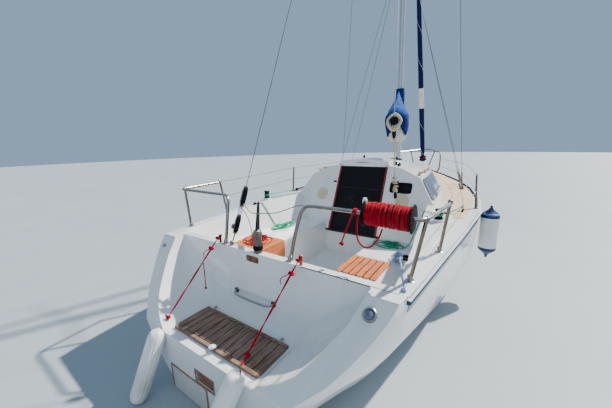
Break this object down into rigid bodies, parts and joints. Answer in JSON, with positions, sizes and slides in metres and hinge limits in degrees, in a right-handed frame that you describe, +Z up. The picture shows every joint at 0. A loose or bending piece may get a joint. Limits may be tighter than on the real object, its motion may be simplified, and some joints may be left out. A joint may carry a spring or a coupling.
{
  "type": "sailing yacht",
  "caption": "Small sailing yacht afloat, with an open bathing scoop in her stern, a cockpit, a cabin, a stowed mainsail on the boom and a furled jib.",
  "frame": {"origin": "on the centreline at the waterline, straight below the aft edge of the transom wall top", "axes": "+X forward to the bow, +Y to port, +Z up"},
  "size_m": [6.5534, 2.889, 9.5334],
  "materials": {
    "gelcoat": "white gelcoat, clean and glossy",
    "stainless": "polished stainless tube and wire",
    "spar_alloy": "grey anodised aluminium",
    "black_fitting": "black moulded plastic",
    "washboard_black": "black painted board, satin",
    "teak": "oiled teak, orange brown",
    "weathered_teak": "weathered brown boards",
    "varnished_frame": "dark red varnished hardwood",
    "navy_canvas": "navy blue acrylic canvas",
    "smoked_glazing": "tinted acrylic pane",
    "bottom_paint": "dark antifouling over iron",
    "rub_strip": "dark strip with a grey rub rail",
    "fender_vinyl": "white vinyl, scuffed",
    "rope_red": "red braided rope",
    "rope_green": "green braided rope",
    "rope_blue": "blue and white braided rope",
    "rope_grey": "grey braided line"
  },
  "bodies": {
    "root": {"hull": "gelcoat", "deck": "gelcoat", "coachroof": "gelcoat", "rub_rail_port": "rub_strip", "rub_rail_starboard": "rub_strip", "way_frame_port": "varnished_frame", "way_frame_starboard": "varnished_frame", "threshold": "stainless", "washboard_lower": "washboard_black", "washboard_upper": "washboard_black", "window_port": "smoked_glazing", "window_starboard": "smoked_glazing", "keel": "bottom_paint", "platform_grate": "weathered_teak", "locker_lid": "gelcoat", "grab_handle": "stainless", "pushpit_port": "stainless", "pushpit_starboard": "stainless", "pulpit": "stainless", "guardrail_port": "stainless", "guardrail_starboard": "stainless", "mast": "spar_alloy", "mast_cover": "navy_canvas", "forestay": "stainless", "shrouds_port": "stainless", "shrouds_starboard": "stainless", "backstay": "stainless", "mainsheet": "black_fitting", "teak_seat_starboard": "teak", "teak_seat_port": "teak", "handrail_port": "teak", "handrail_starboard": "teak", "fender_stern_port": "fender_vinyl", "fender_stern_starboard": "fender_vinyl", "fender_side": "fender_vinyl", "sheet_tail_port": "rope_green", "sheet_tail_port_coil": "rope_green", "sheet_tail_starboard": "rope_green", "sheet_tail_starboard_coil": "rope_green", "tackle_tail": "rope_red", "tackle_tail_pile": "rope_red", "reel_tail": "rope_red", "stern_line": "rope_blue", "slack_line": "rope_grey", "lashing_tail_port": "rope_red", "lashing_port": "rope_red", "lashing_starboard": "rope_red"},
    "rudder": {"rudder": "spar_alloy"},
    "tiller": {"tiller": "black_fitting"},
    "boom": {"boom": "spar_alloy", "sail_cover": "navy_canvas"},
    "jib_roll": {"furled_jib": "navy_canvas"},
    "rope_reel": {"rope_reel": "rope_red"},
    "sliding_hatch": {"sliding_hatch": "gelcoat"},
    "forehatch": {"forehatch": "gelcoat"},
    "winch_port": {"winch_port": "black_fitting"},
    "winch_starboard": {"winch_starboard": "black_fitting"}
  },
  "joints": [
    {"name": "rudder_turn", "type": "hinge", "parent": "root", "child": "rudder", "pos_m": [0.03, 0, 1], "axis": [0, 0, 1], "range_deg": [-88, 2]},
    {"name": "tiller_lift", "type": "hinge", "parent": "rudder", "child": "tiller", "pos_m": [0.0519, 0.0205, 1.102], "axis": [0.682, -0.7314, 0], "range_deg": [0, 35]},
    {"name": "boom_swing", "type": "hinge", "parent": "root", "child": "boom", "pos_m": [3.4197, 0, 2.0839], "axis": [-0.062, 0, 0.9981], "range_deg": [-75.7, 44.3]},
    {"name": "furler_turn", "type": "hinge", "parent": "root", "child": "jib_roll", "pos_m": [5.5, 0, 1.21], "axis": [-0.3766, 0, 0.9264], "continuous": true},
    {"name": "reel_turn", "type": "hinge", "parent": "root", "child": "rope_reel", "pos_m": [0.158, -0.944, 1.352], "axis": [0, 1, 0], "continuous": true},
    {"name": "hatch_slide", "type": "slide", "parent": "root", "child": "sliding_hatch", "axis": [1, 0, 0], "range_m": [0, 0.45]},
    {"name": "forehatch_open", "type": "hinge", "parent": "root", "child": "forehatch", "pos_m": [4.706, 0, 1.15], "axis": [0, 1, 0], "range_deg": [0, 95]},
    {"name": "winch_port_turn", "type": "hinge", "parent": "root", "child": "winch_port", "pos_m": [1.29, 1.045, 1.09], "axis": [0, 0, 1], "continuous": true},
    {"name": "winch_starboard_turn", "type": "hinge", "parent": "root", "child": "winch_starboard", "pos_m": [1.29, -1.045, 1.09], "axis": [0, 0, 1], "continuous": true}
  ]
}
